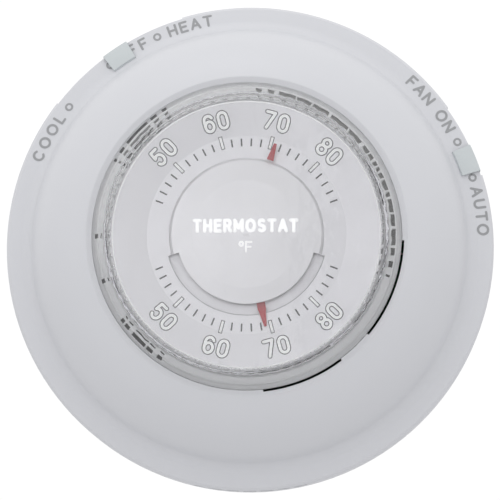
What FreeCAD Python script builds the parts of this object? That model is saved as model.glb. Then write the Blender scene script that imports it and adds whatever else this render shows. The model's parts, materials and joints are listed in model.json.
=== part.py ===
"""Round wall thermostat: an electronic heating and cooling control with a clear turning dial.

Row frame, millimetres: the wall is the plane y = 0, the front of the thermostat faces -Y,
+X is to the right as seen from the front and +Z is up. The origin is the centre of the
back face. "Depth" below always means the distance from the wall, so depth d is y = -d.
"""
import FreeCAD, Part
import math
import os
import re

import Sketcher
from FreeCAD import Placement, Rotation, Vector

# ---------------------------------------------------------------------------
# Driving dimensions: name, value. They fill the spreadsheet, and every
# formula in this file is written with these names.
# ---------------------------------------------------------------------------
SIZES = [
    # case
    ("rim_radius", 69.85),
    ("rear_gap", 0.4),
    ("shell", 2.0),
    ("rim_depth", 8.9),
    ("lip_edge_radius", 69.1),
    ("lip_edge_depth", 9.75),
    ("crease_radius", 62.4),
    ("crease_depth", 11.8),
    ("crease_round", 5.0),
    ("dome_radius", 45.0),
    ("dome_depth", 34.2),
    ("dome_bulge", 3.9),
    ("opening_radius", 43.3),
    ("opening_wall", 2.0),
    ("opening_back", 30.5),
    ("edge_round", 0.6),
    ("boss_radius", 2.8),
    ("boss_circle", 63.5),
    ("boss_top", 10.2),
    ("case_pilot_radius", 1.25),
    ("relief_radius", 43.9),
    # back cover and circuit board
    ("cover_radius", 67.6),
    ("cover_back", 3.0),
    ("cover_front", 4.8),
    ("cover_window_width", 62),
    ("cover_window_height", 40),
    ("post_circle", 33.6),
    ("post_radius", 2.8),
    ("post_hole_radius", 1.5),
    ("post_pilot_radius", 1.15),
    ("case_hole_radius", 1.5),
    ("trimmer_z", 34),
    ("trimmer_hole_radius", 3.2),
    ("sink_radius", 2.7),
    ("sink_depth", 1.1),
    ("board_radius", 50),
    ("board_back", 10),
    ("board_front", 11.6),
    # wall plate and terminals
    ("plate_radius", 66.5),
    ("plate_front", 2.4),
    ("wire_width", 30),
    ("wire_height", 24),
    ("slot_spacing", 83.3),
    ("slot_width", 4.6),
    ("slot_length", 8),
    ("plate_core_depth", 0.7),
    ("plate_core_inner", 26),
    ("plate_core_middle", 37),
    ("plate_core_outer", 62.5),
    ("plate_core_step", 55),
    ("hook_radius", 52.0),
    ("hook_thick", 1.6),
    ("hook_barb", 0.8),
    ("hook_width", 8),
    ("hook_top", 7.0),
    ("terminal_pitch", 12),
    ("block_inner", 19),
    ("block_width", 10),
    ("block_height", 37),
    ("block_seat", 5.0),
    ("block_top", 8.6),
    ("clip_thick", 0.8),
    ("screw_x", 21.4),
    ("pin_x", 25.4),
    ("pin_radius", 0.9),
    ("socket_radius", 1.2),
    # dial frame
    ("frame_back", 26.9),
    ("frame_floor", 28.4),
    ("slot_foot", 29.0),
    ("upper_slot_inner", 39.65),
    ("lower_groove_inner", 39.35),
    ("lower_groove_outer", 39.85),
    ("right_slot_inner", 39.45),
    ("right_slot_outer", 40.75),
    ("notch_inner", 38.45),
    ("notch_outer", 39.4),
    ("frame_radius", 40.6),
    ("lip_radius", 41.1),
    ("lip_back", 33.9),
    ("frame_wall", 1.6),
    ("frame_top", 34.4),
    ("ledge_radius", 37.2),
    ("ledge_depth", 33.0),
    ("bearing_radius", 3.5),
    ("bearing_front", 30.4),
    ("arbor_radius", 1.2),
    ("coil_end_radius", 9.1),
    ("coil_width", 1.2),
    ("coil_thick", 0.3),
    ("anchor_x", 10.6),
    ("anchor_radius", 1.1),
    ("running_gap", 0.05),
    # face
    ("well_floor", 33.2),
    ("well_radius", 21.6),
    ("trough_radius", 22.4),
    ("trough_first_angle", 195),
    ("trough_last_angle", 344.5),
    ("face_depth", 35.2),
    ("dish_radius", 27.8),
    ("dish_edge_radius", 37.2),
    ("dish_edge_depth", 36.8),
    ("face_radius", 37.6),
    ("flange_radius", 37.95),
    ("face_thick", 1.2),
    ("cap_radius", 21.55),
    ("cap_low_radius", 19.4),
    ("cap_front", 37.3),
    ("cap_edge_depth", 36.0),
    # clear dial and its gear
    ("dial_radius", 43.0),
    ("hollow_radius", 38.65),
    ("skirt_inner", 41.75),
    ("skirt_back", 33.6),
    ("sleeve_inner", 40.9),
    ("sleeve_back", 26.5),
    ("sleeve_slot_back", 25.0),
    ("upper_sleeve_slot", 42.1),
    ("lower_sleeve_slot", 41.5),
    ("land_radius", 39.5),
    ("land_depth", 40.1),
    ("window_radius", 37.4),
    ("window_front", 39.6),
    ("window_back", 38.1),
    ("grip_depth", 34.6),
    ("tooth_inner", 37.7),
    ("tooth_outer", 38.6),
    ("tooth_depth", 0.5),
    ("tooth_count", 72),
    ("tooth_phase", 4.2),
    ("gear_module", 1.0),
    ("ring_teeth", 76),
    ("pot_teeth", 38),
    ("ring_gear_back", 23.2),
    ("pot_gear_back", 23.4),
    ("pot_gear_front", 26.0),
    ("tooth_share", 0.44),
    # readings at rest
    ("degrees_per_mark", 3),
    ("middle_mark", 65),
    ("set_temperature", 71),
    ("room_temperature", 68.9),
    # switch levers
    ("lever_inner", 46.0),
    ("lever_back", 5.9),
    ("lever_front", 7.9),
    ("lever_gap", 0.3),
    ("lever_skin", 0.7),
    ("lever_tab_inner", 63.8),
    ("lever_tab_angle", 6.6),
    ("lever_neck_angle", 3.2),
    ("rim_recess", 0.5),
    ("guide_circle", 57.0),
    ("guide_radius", 1.5),
    ("system_rest_angle", 124.1),
    ("system_to_heat", 13.5),
    ("system_to_cool", 14.5),
    ("fan_rest_angle", 21.4),
    ("fan_to_on", 9.5),
]

doc = FreeCAD.newDocument("thermostat")
sheet = doc.addObject("Spreadsheet::Sheet", "Sizes")
for row, (alias, number) in enumerate(SIZES, start=1):
    sheet.set("A%d" % row, alias)
    sheet.set("B%d" % row, str(number))
    sheet.setAlias("B%d" % row, alias)
doc.recompute()

ALIASES = {alias for alias, number in SIZES}
PARTS = []


def value(formula):
    """The number that a formula written with the sheet's names comes to."""
    return float(sheet.evalExpression(str(formula)))


def bound(formula):
    """The same formula as another object has to write it."""
    def full_name(match):
        word = match.group()
        return "Sizes." + word if word in ALIASES else word
    return re.sub(r"[A-Za-z_]\w*", full_name, str(formula))


def bind(item, **formulas):
    """Tie properties of an object to formulas of the sheet's names."""
    for name, formula in formulas.items():
        item.setExpression(name, bound(formula))


def about_front(angle):
    """Rotation that carries +X to the given angle, counter-clockwise as seen from the front."""
    return Rotation(Vector(0, -1, 0), angle)


def at_angle(radius, angle, depth=0.0):
    """Point at a radius, an angle seen from the front and a depth from the wall."""
    turn = math.radians(angle)
    return Vector(radius * math.cos(turn), -depth, radius * math.sin(turn))


def keep(item, label):
    """Name a finished sub-part."""
    item.Label = label
    PARTS.append(item)
    return item


# ---------------------------------------------------------------------------
# PartDesign helpers. XZ_Plane faces the front: a sketch on it has x to the
# right, y up, and its pads grow towards the viewer when not reversed.
# ---------------------------------------------------------------------------
def new_body(label):
    body = doc.addObject("PartDesign::Body", "Body_" + label)
    return keep(body, label)


def plane(body, role):
    return [item for item in body.Origin.OriginFeatures if item.Role == role][0]


def new_sketch(body, role, name):
    sketch = body.newObject("Sketcher::SketchObject", body.Label + "_" + name)
    sketch.AttachmentSupport = (plane(body, role), [""])
    sketch.MapMode = "FlatFace"
    return sketch


def front_sketch(body, name, depth):
    """Sketch parallel to the wall at a depth; its x is right and its y is up."""
    sketch = new_sketch(body, "XZ_Plane", name)
    sketch.setExpression("AttachmentOffset.Base.z", bound(depth))
    return sketch


def tie(sketch, kind, where, formula):
    """Distance from the origin to a point, in x or y, bound to a formula."""
    geometry, corner = where
    size = value(formula)
    if abs(size) < 1e-9:
        axis = -2 if kind == "DistanceX" else -1
        sketch.addConstraint(Sketcher.Constraint("PointOnObject", geometry, corner, axis))
        return
    if size > 0:
        number = sketch.addConstraint(Sketcher.Constraint(kind, -1, 1, geometry, corner, size))
        sketch.setExpression("Constraints[%d]" % number, bound(formula))
    else:
        number = sketch.addConstraint(Sketcher.Constraint(kind, geometry, corner, -1, 1, -size))
        sketch.setExpression("Constraints[%d]" % number, bound("-(%s)" % formula))


def outline(sketch, corners):
    """Closed polygon whose corners are pairs of formulas, each bound to the sheet."""
    points = [Vector(value(x), value(y), 0) for x, y in corners]
    first = sketch.GeometryCount
    count = len(points)
    for i, point in enumerate(points):
        sketch.addGeometry(Part.LineSegment(point, points[(i + 1) % count]), False)
    for i, (x, y) in enumerate(corners):
        before = first + (i - 1) % count
        sketch.addConstraint(Sketcher.Constraint("Coincident", before, 2, first + i, 1))
        tie(sketch, "DistanceX", (first + i, 1), x)
        tie(sketch, "DistanceY", (first + i, 1), y)


def profile(sketch, corners):
    """Polygon of (radius, depth) pairs for turning about the front-to-back axis."""
    outline(sketch, [(radius, "-(%s)" % depth) for radius, depth in corners])


def disc(sketch, radius, x=0, y=0):
    """Circle with its radius and centre bound to formulas."""
    centre = Vector(value(x), value(y), 0)
    circle = Part.Circle(centre, Vector(0, 0, 1), value(radius))
    number = sketch.addGeometry(circle, False)
    size = sketch.addConstraint(Sketcher.Constraint("Radius", number, value(radius)))
    sketch.setExpression("Constraints[%d]" % size, bound(radius))
    tie(sketch, "DistanceX", (number, 3), x)
    tie(sketch, "DistanceY", (number, 3), y)


def rectangle(sketch, x0, y0, x1, y1):
    outline(sketch, [(x0, y0), (x1, y0), (x1, y1), (x0, y1)])


def closed_lines(sketch, points):
    """Closed polygon through computed points, its corners joined."""
    first = sketch.GeometryCount
    count = len(points)
    for i, point in enumerate(points):
        sketch.addGeometry(Part.LineSegment(point, points[(i + 1) % count]), False)
    for i in range(count):
        following = first + (i + 1) % count
        sketch.addConstraint(Sketcher.Constraint("Coincident", first + i, 2, following, 1))


def arc_slot(sketch, inner, outer, first_angle, last_angle):
    """Ring sector between two radii and two angles."""
    low = math.radians(value(first_angle))
    high = math.radians(value(last_angle))
    start = sketch.GeometryCount
    for radius in (inner, outer):
        circle = Part.Circle(Vector(0, 0, 0), Vector(0, 0, 1), value(radius))
        sketch.addGeometry(Part.ArcOfCircle(circle, low, high), False)
    for angle in (low, high):
        ray = Vector(math.cos(angle), math.sin(angle), 0)
        sketch.addGeometry(Part.LineSegment(ray * value(inner), ray * value(outer)), False)
    small, large, first, last = range(start, start + 4)
    for line, end in ((first, 1), (last, 2)):
        sketch.addConstraint(Sketcher.Constraint("Coincident", line, 1, small, end))
        sketch.addConstraint(Sketcher.Constraint("Coincident", line, 2, large, end))
    for arc, radius in ((small, inner), (large, outer)):
        sketch.addConstraint(Sketcher.Constraint("Coincident", arc, 3, -1, 1))
        size = sketch.addConstraint(Sketcher.Constraint("Radius", arc, value(radius)))
        sketch.setExpression("Constraints[%d]" % size, bound(radius))


def pad(body, sketch, length, name="pad"):
    item = body.newObject("PartDesign::Pad", body.Label + "_" + name)
    item.Profile = sketch
    bind(item, Length=length)
    doc.recompute()
    return item


def cut(body, sketch, length, name="pocket", forward=True):
    """Pocket from the sketch towards the front, or towards the wall."""
    before = body.Shape.Volume
    item = body.newObject("PartDesign::Pocket", body.Label + "_" + name)
    item.Profile = sketch
    item.Reversed = forward
    bind(item, Length=length)
    doc.recompute()
    if not body.Shape.Volume < before - 1e-6:
        raise RuntimeError("the pocket %s cuts nothing" % item.Label)
    return item


def turn(body, sketch, angle=360, name="turned"):
    """Solid of revolution about the front-to-back axis, centred on the sketch's plane."""
    item = body.newObject("PartDesign::Revolution", body.Label + "_" + name)
    item.Profile = sketch
    item.ReferenceAxis = (sketch, ["V_Axis"])
    item.Midplane = value(angle) < 360
    bind(item, Angle=angle)
    doc.recompute()
    return item


def turned_body(label, corners):
    body = new_body(label)
    sketch = new_sketch(body, "XY_Plane", "profile")
    profile(sketch, corners)
    turn(body, sketch)
    return body


def round_rings(body, rings, radius, name="round"):
    """Fillet the circular edges about the main axis given as (radius, depth) pairs."""
    wanted = [(value(ring), value(depth)) for ring, depth in rings]
    edges = []
    for number, edge in enumerate(body.Shape.Edges, start=1):
        curve = edge.Curve
        if not isinstance(curve, Part.Circle) or abs(abs(curve.Axis.y) - 1) > 1e-6:
            continue
        if any(abs(curve.Radius - r) < 1e-3 and abs(curve.Center.y + d) < 1e-3 for r, d in wanted):
            edges.append("Edge%d" % number)
    before = body.Tip
    item = body.newObject("PartDesign::Fillet", body.Label + "_" + name)
    item.Base = (before, edges)
    bind(item, Radius=radius)
    doc.recompute()
    return item


# ---------------------------------------------------------------------------
# Part primitive helpers
# ---------------------------------------------------------------------------
def rod(radius, back, front, x=0, z=0):
    """Cylinder along the front-to-back axis, from one depth to another."""
    item = doc.addObject("Part::Cylinder", "rod")
    item.Placement = Placement(Vector(0, 0, 0), Rotation(Vector(1, 0, 0), 90))
    bind(item, Radius=radius, Height="(%s) - (%s)" % (front, back))
    item.setExpression("Placement.Base.x", bound(x))
    item.setExpression("Placement.Base.y", bound("-(%s)" % back))
    item.setExpression("Placement.Base.z", bound(z))
    return item


def cone(back_radius, front_radius, back, front, x=0, z=0):
    item = doc.addObject("Part::Cone", "cone")
    item.Placement = Placement(Vector(0, 0, 0), Rotation(Vector(1, 0, 0), 90))
    bind(item, Radius1=back_radius, Radius2=front_radius, Height="(%s) - (%s)" % (front, back))
    item.setExpression("Placement.Base.x", bound(x))
    item.setExpression("Placement.Base.y", bound("-(%s)" % back))
    item.setExpression("Placement.Base.z", bound(z))
    return item


def block(width, height, back, front, x=0, z=0):
    """Box centred at x and z, from one depth to another."""
    item = doc.addObject("Part::Box", "block")
    bind(item, Length=width, Width="(%s) - (%s)" % (front, back), Height=height)
    item.setExpression("Placement.Base.x", bound("(%s) - (%s) / 2" % (x, width)))
    item.setExpression("Placement.Base.y", bound("-(%s)" % front))
    item.setExpression("Placement.Base.z", bound("(%s) - (%s) / 2" % (z, height)))
    return item


def joined(*items):
    item = doc.addObject("Part::MultiFuse", "joined")
    item.Shapes = list(items)
    return item


def minus(base, *tools):
    item = doc.addObject("Part::Cut", "minus")
    item.Base = base
    item.Tool = tools[0] if len(tools) == 1 else joined(*tools)
    return item


def group(*items):
    """Separate solids that share one node."""
    item = doc.addObject("Part::Compound", "group")
    item.Links = list(items)
    return item


def shaped(label, shape, place=None):
    item = doc.addObject("Part::Feature", "shape_" + label)
    item.Shape = shape
    if place is not None:
        item.Placement = place
    return keep(item, label)


# ---------------------------------------------------------------------------
# Wall plate, terminals
# ---------------------------------------------------------------------------
HOOK_ANGLES = (90, 210, 330)
INNER_CORES = ((12, 78), (102, 168), (192, 258), (282, 348))
OUTER_CORES = ((5, 40), (50, 85), (95, 130), (140, 175), (185, 220), (230, 265), (275, 310), (320, 355))
TERMINAL_ROWS = (-1, 0, 1)
SIDES = (("left", -1), ("right", 1))


def wall_plate():
    """Disc that screws to the wall, with the wire opening and three snap hooks."""
    body = new_body("wall_plate")
    sketch = front_sketch(body, "outline", 0)
    disc(sketch, "plate_radius")
    rectangle(sketch, "-wire_width / 2", "-wire_height / 2", "wire_width / 2", "wire_height / 2")
    for side in (-1, 1):
        slot_z = "%d * slot_spacing / 2" % side
        straight = "(slot_length - slot_width) / 2"
        obround(sketch, slot_z, straight)
    pad(body, sketch, "plate_front")
    cores = front_sketch(body, "cores", 0)
    for low, high in INNER_CORES:
        arc_slot(cores, "plate_core_inner", "plate_core_middle", low, high)
    for low, high in OUTER_CORES:
        arc_slot(cores, "plate_core_step", "plate_core_outer", low, high)
    cut(body, cores, "plate_core_depth", "cores_cut")
    hook_profile = [
        ("hook_radius", "plate_front - 0.2"),
        ("hook_radius + hook_thick", "plate_front - 0.2"),
        ("hook_radius + hook_thick", "hook_top - 1.6"),
        ("hook_radius + hook_thick + hook_barb", "hook_top - 1.2"),
        ("hook_radius + hook_thick", "hook_top"),
        ("hook_radius", "hook_top"),
    ]
    hook_angle = "hook_width / hook_radius * 180 / pi"
    first = new_sketch(body, "XY_Plane", "hook")
    first.AttachmentOffset = Placement(Vector(0, 0, 0), Rotation(Vector(0, 1, 0), -HOOK_ANGLES[0]))
    profile(first, hook_profile)
    hook = turn(body, first, hook_angle, "hook")
    hooks = body.newObject("PartDesign::PolarPattern", "wall_plate_hooks")
    hooks.Originals = [hook]
    hooks.Axis = (first, ["V_Axis"])
    hooks.Angle = 360
    hooks.Occurrences = len(HOOK_ANGLES)
    body.Tip = hooks
    doc.recompute()
    return body


def obround(sketch, centre_y, straight):
    """Upright slot on the middle line: two half circles and two straight sides."""
    radius = value("slot_width / 2")
    middle = value(centre_y)
    reach = value(straight)
    start = sketch.GeometryCount
    ends = ((middle + reach, 0, math.pi), (middle - reach, math.pi, 2 * math.pi))
    for centre, low, high in ends:
        circle = Part.Circle(Vector(0, centre, 0), Vector(0, 0, 1), radius)
        sketch.addGeometry(Part.ArcOfCircle(circle, low, high), False)
    for side in (1, -1):
        top = Vector(side * radius, middle + reach, 0)
        bottom = Vector(side * radius, middle - reach, 0)
        sketch.addGeometry(Part.LineSegment(top, bottom), False)
    upper, lower, right, left = range(start, start + 4)
    corners = ((upper, 1, right, 1), (upper, 2, left, 1), (lower, 2, right, 2), (lower, 1, left, 2))
    for arc, arc_end, line, line_end in corners:
        sketch.addConstraint(Sketcher.Constraint("Tangent", arc, arc_end, line, line_end))
    size = sketch.addConstraint(Sketcher.Constraint("Radius", upper, radius))
    sketch.setExpression("Constraints[%d]" % size, bound("slot_width / 2"))
    for arc, sign in ((upper, "+"), (lower, "-")):
        tie(sketch, "DistanceX", (arc, 3), 0)
        tie(sketch, "DistanceY", (arc, 3), "%s %s %s" % (centre_y, sign, straight))


def terminal_block(name, side):
    """Moulded block with three wire bays between low walls."""
    middle = "%d * (block_inner + block_width / 2)" % side
    base = block("block_width", "block_height", "plate_front", "block_top", middle, 0)
    tools = []
    for place in TERMINAL_ROWS:
        row_z = "%d * terminal_pitch" % place
        bay_x = "%d * (block_inner + block_width / 2 - 0.75)" % side
        tools.append(block("block_width + 1.5 - 3", "terminal_pitch - 2.4",
                           "block_seat", "block_top + 1", bay_x, row_z))
        tools.append(block("4", "3.4", "block_seat", "block_top + 1",
                           "%d * block_inner" % side, row_z))
        tools.append(rod("1.7", "plate_front + 0.6", "block_seat + 1",
                         "%d * screw_x" % side, row_z))
        tools.append(rod("socket_radius", "plate_front + 0.6", "block_seat + 1",
                         "%d * pin_x" % side, row_z))
    return keep(minus(base, *tools), "terminal_block_" + name)


def terminal_clips():
    """Six plated clips: a flat base with the screw hole and the socket for a pin."""
    clips = []
    for name, side in SIDES:
        for place in TERMINAL_ROWS:
            row_z = "%d * terminal_pitch" % place
            base_x = "%d * (block_inner + block_width / 2 - 0.5)" % side
            base = block("block_width - 2.5", "terminal_pitch - 3.2", "block_seat",
                         "block_seat + clip_thick", base_x, row_z)
            collar = rod("socket_radius + 0.4", "block_seat", "block_top - 0.6",
                         "%d * pin_x" % side, row_z)
            screw_hole = rod("1.5", "block_seat - 1", "block_seat + 2", "%d * screw_x" % side, row_z)
            socket = rod("socket_radius", "block_seat - 1", "block_top + 1", "%d * pin_x" % side, row_z)
            clips.append(minus(joined(base, collar), screw_hole, socket))
    return keep(group(*clips), "terminal_clips")


def terminal_screws():
    """Six slotted binding screws."""
    screws = []
    head_back = "block_seat + clip_thick"
    head_front = "block_top - 0.7"
    for name, side in SIDES:
        for place in TERMINAL_ROWS:
            x = "%d * screw_x" % side
            row_z = "%d * terminal_pitch" % place
            head = rod("2.1", head_back, head_front, x, row_z)
            shank = rod("1.4", "plate_front + 0.8", head_back, x, row_z)
            slot = block("0.7", "4.6", head_front + " - 0.8", head_front + " + 1", x, row_z)
            screws.append(minus(joined(head, shank), slot))
    return keep(group(*screws), "terminal_screws")


# ---------------------------------------------------------------------------
# Case: housing, back cover
# ---------------------------------------------------------------------------
BOSS_ANGLES = (60, 180, 300)
POST_ANGLES = (45, 135, 225, 315)
VENT_OFFSETS = range(-12, 13, 4)
RELIEF_ANGLES = ((276, 307), (320.5, 358))
LEVER_TRAVELS = (
    ("system_rest_angle - system_to_heat", "system_rest_angle + system_to_cool"),
    ("fan_rest_angle", "fan_rest_angle + fan_to_on"),
)


def dome_middle(inset):
    """Middle point of the dome's arc, moved in from the outside by an inset."""
    foot = Vector(value("crease_radius"), value("crease_depth"), 0)
    head = Vector(value("dome_radius"), value("dome_depth"), 0)
    chord = head - foot
    outward = Vector(chord.y, -chord.x, 0).normalize()
    return (foot + head) * 0.5 + outward * (value("dome_bulge") - inset)


def housing():
    """Dome of the case: skirt, lip, domed face and the round opening for the dial."""
    body = new_body("housing")
    sketch = new_sketch(body, "XY_Plane", "profile")
    corners = [
        ("rim_radius", "rear_gap"),
        ("rim_radius", "rim_depth"),
        ("lip_edge_radius", "lip_edge_depth"),
        ("crease_radius", "crease_depth"),
        ("dome_radius", "dome_depth"),
        ("opening_radius", "dome_depth - 0.2"),
        ("opening_radius", "opening_back"),
        ("opening_radius + opening_wall", "opening_back"),
        ("opening_radius + opening_wall", "dome_depth - 2.5"),
        ("crease_radius - 0.9 * shell", "crease_depth - 0.7 * shell"),
        ("rim_radius - shell", "lip_edge_depth - 0.8 * shell"),
        ("rim_radius - shell", "rear_gap"),
    ]
    outer_arc = 3
    inner_arc = 8
    points = [Vector(value(radius), -value(depth), 0) for radius, depth in corners]
    ends = []
    for i, point in enumerate(points):
        following = points[(i + 1) % len(points)]
        ends.append((1, 2))
        if i in (outer_arc, inner_arc):
            middle = dome_middle(0 if i == outer_arc else value("shell"))
            bend = Vector(middle.x, -middle.y, 0)
            curve = Part.Arc(point, bend, following)
            # a sketch stores every arc counter-clockwise, so a clockwise one ends where it began
            if (bend - point).cross(following - bend).z < 0:
                ends[i] = (2, 1)
        else:
            curve = Part.LineSegment(point, following)
        sketch.addGeometry(curve, False)
    for i, (radius, depth) in enumerate(corners):
        before = (i - 1) % len(corners)
        sketch.addConstraint(Sketcher.Constraint("Coincident", before, ends[before][1], i, ends[i][0]))
        tie(sketch, "DistanceX", (i, ends[i][0]), radius)
        tie(sketch, "DistanceY", (i, ends[i][0]), "-(%s)" % depth)
    for number in (outer_arc, inner_arc):
        radius = sketch.Geometry[number].Radius
        sketch.addConstraint(Sketcher.Constraint("Radius", number, radius))
    turn(body, sketch)
    round_rings(body, [("crease_radius", "crease_depth")], "crease_round", "crease")
    round_rings(body, [("dome_radius", "dome_depth"), ("rim_radius", "rim_depth")], "edge_round", "edges")

    bosses = front_sketch(body, "bosses", "cover_front")
    for angle in BOSS_ANGLES:
        disc(bosses, "boss_radius", "boss_circle * cos(%d deg)" % angle, "boss_circle * sin(%d deg)" % angle)
    pad(body, bosses, "boss_top - cover_front", "boss")
    pilots = front_sketch(body, "pilots", "cover_front")
    for angle in BOSS_ANGLES:
        disc(pilots, "case_pilot_radius",
             "boss_circle * cos(%d deg)" % angle, "boss_circle * sin(%d deg)" % angle)
    cut(body, pilots, "boss_top - cover_front - 0.7", "pilot")

    relief = front_sketch(body, "relief", "opening_back - 0.1")
    for low, high in RELIEF_ANGLES:
        arc_slot(relief, "opening_radius - 0.3", "relief_radius", low, high)
    cut(body, relief, "dome_depth - opening_back + 1", "relief_cut")

    # the levers slide in arc slots through the skirt, under a shallow recess in the rim,
    # and air passes through short slots at the top and the bottom
    margin = "(lever_tab_angle - lever_neck_angle) / 2"
    neck_half = "lever_neck_angle / 2 + 0.4"
    slots = front_sketch(body, "slots", "lever_back - 0.4")
    recesses = front_sketch(body, "recesses", "rear_gap - 0.1")
    for low, high in LEVER_TRAVELS:
        arc_slot(slots, "rim_radius - shell - 0.8", "rim_radius + 1",
                 "%s - (%s)" % (low, neck_half), "%s + %s" % (high, neck_half))
        arc_slot(recesses, "rim_radius - rim_recess", "rim_radius + 1",
                 "%s - (%s) - %s - 0.6" % (low, neck_half, margin),
                 "%s + %s + %s + 0.6" % (high, neck_half, margin))
    for centre in (90, 270):
        for offset in VENT_OFFSETS:
            middle = centre + offset
            arc_slot(slots, "rim_radius - shell - 0.8", "rim_radius + 1", middle - 1.5, middle + 1.5)
    cut(body, slots, "lever_front - lever_back + 0.8", "slots_cut")
    cut(body, recesses, "lip_edge_depth + 1", "recesses_cut")
    return body


def back_cover():
    """Plate that closes the back of the case round the terminals."""
    body = new_body("back_cover")
    sketch = front_sketch(body, "outline", "cover_back")
    disc(sketch, "cover_radius")
    rectangle(sketch, "-cover_window_width / 2", "-cover_window_height / 2",
              "cover_window_width / 2", "cover_window_height / 2")
    disc(sketch, "trimmer_hole_radius", 0, "trimmer_z")
    for angle in BOSS_ANGLES:
        disc(sketch, "case_hole_radius",
             "boss_circle * cos(%d deg)" % angle, "boss_circle * sin(%d deg)" % angle)
    pad(body, sketch, "cover_front - cover_back")

    hooks = front_sketch(body, "hook_windows", "cover_back")
    half = math.degrees(value("hook_width / 2 + 0.6") / value("hook_radius"))
    for angle in HOOK_ANGLES:
        arc_slot(hooks, "hook_radius - 0.6", "hook_radius + hook_thick + hook_barb + 0.5",
                 angle - half, angle + half)
    cut(body, hooks, "cover_front - cover_back", "hook_windows_cut")

    pin_half = math.degrees(value("guide_radius + 0.3") / value("guide_circle"))
    guides = front_sketch(body, "guides", "cover_back")
    for low, high in LEVER_TRAVELS:
        arc_slot(guides, "guide_circle - guide_radius - 0.3", "guide_circle + guide_radius + 0.3",
                 value(low) - pin_half - 0.4, value(high) + pin_half + 0.4)
    cut(body, guides, "cover_front - cover_back", "guide_cut")

    posts = front_sketch(body, "posts", "cover_back")
    holes = front_sketch(body, "post_holes", "cover_back")
    for angle in POST_ANGLES:
        x = "post_circle * cos(%d deg)" % angle
        y = "post_circle * sin(%d deg)" % angle
        disc(posts, "post_radius", x, y)
        disc(holes, "post_hole_radius", x, y)
    pad(body, posts, "board_back - cover_back", "post")
    cut(body, holes, "board_back - cover_back", "post_hole_cut")
    for angle in BOSS_ANGLES:
        countersink(body, "boss_circle", angle)
    for angle in POST_ANGLES:
        countersink(body, "post_circle", angle)
    return body


def countersink(body, circle, angle):
    """Conical seat for a screw head in the rear face, turned about the screw's own axis."""
    name = "%s_%d" % (circle, angle)
    x = "%s * cos(%d deg)" % (circle, angle)
    seat = new_sketch(body, "XY_Plane", "sink_" + name)
    seat.setExpression("AttachmentOffset.Base.z", bound("%s * sin(%d deg)" % (circle, angle)))
    low = "-(cover_back)"
    high = "-(cover_back + sink_depth)"
    outline(seat, [(x, low), (x + " + sink_radius", low), (x + " + case_hole_radius", high), (x, high)])
    axis = Part.LineSegment(Vector(value(x), -1, 0), Vector(value(x), -2, 0))
    line = seat.addGeometry(axis, True)
    seat.addConstraint(Sketcher.Constraint("Vertical", line))
    tie(seat, "DistanceX", (line, 1), x)
    before = body.Shape.Volume
    groove = body.newObject("PartDesign::Groove", body.Label + "_sunk_" + name)
    groove.Profile = seat
    groove.ReferenceAxis = (seat, ["Axis0"])
    groove.Angle = 360
    doc.recompute()
    if not body.Shape.Volume < before - 1e-6:
        raise RuntimeError("the countersink %s cuts nothing" % name)


def sunk_screw(circle, angle, radius, tip):
    """Countersunk screw with a cross recess, its head flush with the back cover."""
    x = "%s * cos(%d deg)" % (circle, angle)
    z = "%s * sin(%d deg)" % (circle, angle)
    head = cone("sink_radius - 0.2", radius, "cover_back", "cover_back + sink_depth", x, z)
    shank = rod(radius, "cover_back + sink_depth", tip, x, z)
    arms = [block(width, height, "cover_back - 1", "cover_back + 0.6", x, z)
            for width, height in (("0.6", "2.6"), ("2.6", "0.6"))]
    return minus(joined(head, shank), *arms)


def case_screws():
    screws = [sunk_screw("boss_circle", angle, "1.2", "boss_top - 1.2") for angle in BOSS_ANGLES]
    return keep(group(*screws), "case_screws")


def frame_screws():
    screws = [sunk_screw("post_circle", angle, "1.1", "board_front + 7") for angle in POST_ANGLES]
    return keep(group(*screws), "frame_screws")


# ---------------------------------------------------------------------------
# Electronics
# ---------------------------------------------------------------------------
def circuit_board():
    body = new_body("circuit_board")
    sketch = front_sketch(body, "outline", "board_back")
    disc(sketch, "board_radius")
    for angle in POST_ANGLES:
        disc(sketch, "post_hole_radius",
             "post_circle * cos(%d deg)" % angle, "post_circle * sin(%d deg)" % angle)
    for side in (-1, 1):
        for place in TERMINAL_ROWS:
            disc(sketch, "pin_radius", "%d * pin_x" % side, "%d * terminal_pitch" % place)
    pad(body, sketch, "board_front - board_back")
    return body


def contact_pins():
    """Six pins that carry the wires' circuits from the terminal sockets to the board."""
    pins = []
    for name, side in SIDES:
        for place in TERMINAL_ROWS:
            x = "%d * pin_x" % side
            z = "%d * terminal_pitch" % place
            shank = rod("pin_radius", "plate_front + 2", "board_front + 0.8", x, z)
            tip = cone("pin_radius * 0.5", "pin_radius", "plate_front + 1.2", "plate_front + 2", x, z)
            collar = rod("pin_radius + 0.5", "board_back - 0.8", "board_back", x, z)
            pins.append(joined(shank, tip, collar))
    return keep(group(*pins), "contact_pins")


RELAY_PLACES = ((-11, -13.5), (11, -13.5), (0, -27.5))
CAPACITOR_PLACES = ((-13.5, 3.5), (14.5, 3.5))
CHIP_PLACE = (0, -1.5)
RESISTOR_PLACES = (
    (-38, 6), (-38, 0), (-38, -6), (38, 6), (38, 0), (38, -6),
    (-8, -38), (8, -38), (-17, -38), (17, -38),
)


def relays():
    """Three sealed relays for heat, cool and fan."""
    boxes = [block(20, 10, "board_front", "board_front + 9.6", x, z) for x, z in RELAY_PLACES]
    return keep(group(*boxes), "relays")


def capacitors():
    cans = []
    for x, z in CAPACITOR_PLACES:
        can = rod(4, "board_front", "board_front + 10", x, z)
        groove = minus(rod(4.5, "board_front + 1.2", "board_front + 1.9", x, z),
                       rod(3.7, "board_front + 1", "board_front + 2", x, z))
        cans.append(minus(can, groove))
    return keep(group(*cans), "capacitors")


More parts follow.
